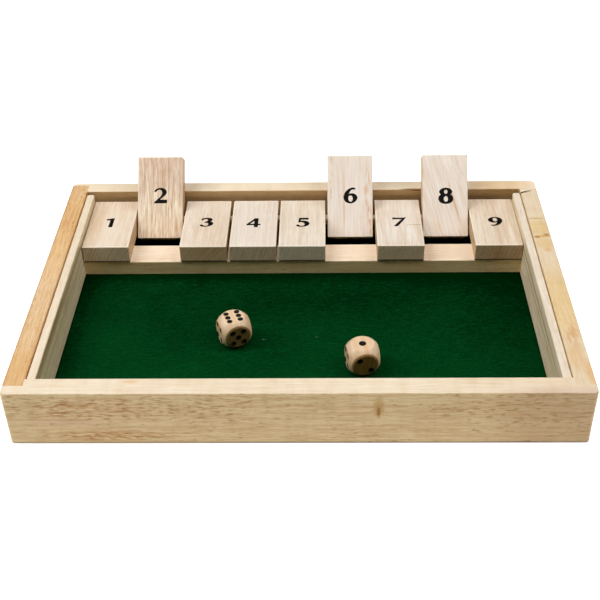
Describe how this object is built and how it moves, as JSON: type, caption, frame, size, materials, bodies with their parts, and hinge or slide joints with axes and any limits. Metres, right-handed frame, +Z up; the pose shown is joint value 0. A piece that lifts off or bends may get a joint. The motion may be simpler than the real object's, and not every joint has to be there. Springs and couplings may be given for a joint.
{
  "type": "shut the box game",
  "caption": "Shallow wooden dice tray with a felt floor and a row of flip-over number tiles on one rod along its back.",
  "frame": {"origin": "bottom centre of the box, on the surface that it stands on", "axes": "+X to the player's right along the tile row, +Y from the player to the tiles, +Z up"},
  "size_m": [0.28, 0.1925, 0.0535],
  "materials": {
    "rail_wood": "thin satin lacquer",
    "rail_wood_tan": "thin satin lacquer",
    "strip_wood": "bare, sanded",
    "rod_wood": "bare, sanded",
    "board_wood": "bare plywood",
    "tile_wood": "bare, fine sanded",
    "die_wood": "thin gloss lacquer",
    "green_felt": "brushed felt",
    "black_ink": "printed ink"
  },
  "bodies": {
    "box": {"front_rail": "rail_wood", "back_rail": "rail_wood", "left_rail": "rail_wood_tan", "right_rail": "rail_wood", "left_inner_strip": "strip_wood", "right_inner_strip": "strip_wood", "tile_rest_bar": "rail_wood", "pivot_rod": "rod_wood", "bottom_board": "board_wood", "felt_sheet": "green_felt"},
    "tile_1": {"number_tile_1": "tile_wood"},
    "tile_2": {"number_tile_2": "tile_wood"},
    "tile_3": {"number_tile_3": "tile_wood"},
    "tile_4": {"number_tile_4": "tile_wood"},
    "tile_5": {"number_tile_5": "tile_wood"},
    "tile_6": {"number_tile_6": "tile_wood"},
    "tile_7": {"number_tile_7": "tile_wood"},
    "tile_8": {"number_tile_8": "tile_wood"},
    "tile_9": {"number_tile_9": "tile_wood"},
    "die_1": {"die_1": "die_wood"},
    "die_2": {"die_2": "die_wood"}
  },
  "joints": [
    {"name": "tile_1_flip", "type": "hinge", "parent": "box", "child": "tile_1", "pos_m": [0, 0.07015, 0.02215], "axis": [-1, 0, 0], "range_deg": [0, 129.84]},
    {"name": "tile_2_flip", "type": "hinge", "parent": "box", "child": "tile_2", "pos_m": [0, 0.07015, 0.02215], "axis": [-1, 0, 0], "range_deg": [-129.84, 0]},
    {"name": "tile_3_flip", "type": "hinge", "parent": "box", "child": "tile_3", "pos_m": [0, 0.07015, 0.02215], "axis": [-1, 0, 0], "range_deg": [0, 129.84]},
    {"name": "tile_4_flip", "type": "hinge", "parent": "box", "child": "tile_4", "pos_m": [0, 0.07015, 0.02215], "axis": [-1, 0, 0], "range_deg": [0, 129.84]},
    {"name": "tile_5_flip", "type": "hinge", "parent": "box", "child": "tile_5", "pos_m": [0, 0.07015, 0.02215], "axis": [-1, 0, 0], "range_deg": [0, 129.84]},
    {"name": "tile_6_flip", "type": "hinge", "parent": "box", "child": "tile_6", "pos_m": [0, 0.07015, 0.02215], "axis": [-1, 0, 0], "range_deg": [-129.84, 0]},
    {"name": "tile_7_flip", "type": "hinge", "parent": "box", "child": "tile_7", "pos_m": [0, 0.07015, 0.02215], "axis": [-1, 0, 0], "range_deg": [0, 129.84]},
    {"name": "tile_8_flip", "type": "hinge", "parent": "box", "child": "tile_8", "pos_m": [0, 0.07015, 0.02215], "axis": [-1, 0, 0], "range_deg": [-129.84, 0]},
    {"name": "tile_9_flip", "type": "hinge", "parent": "box", "child": "tile_9", "pos_m": [0, 0.07015, 0.02215], "axis": [-1, 0, 0], "range_deg": [0, 129.84]},
    {"name": "die_1_lift", "type": "slide", "parent": "box", "child": "die_1", "axis": [0, 0, 1], "range_m": [0, 0.06]},
    {"name": "die_2_lift", "type": "slide", "parent": "box", "child": "die_2", "axis": [0, 0, 1], "range_m": [0, 0.06]}
  ]
}
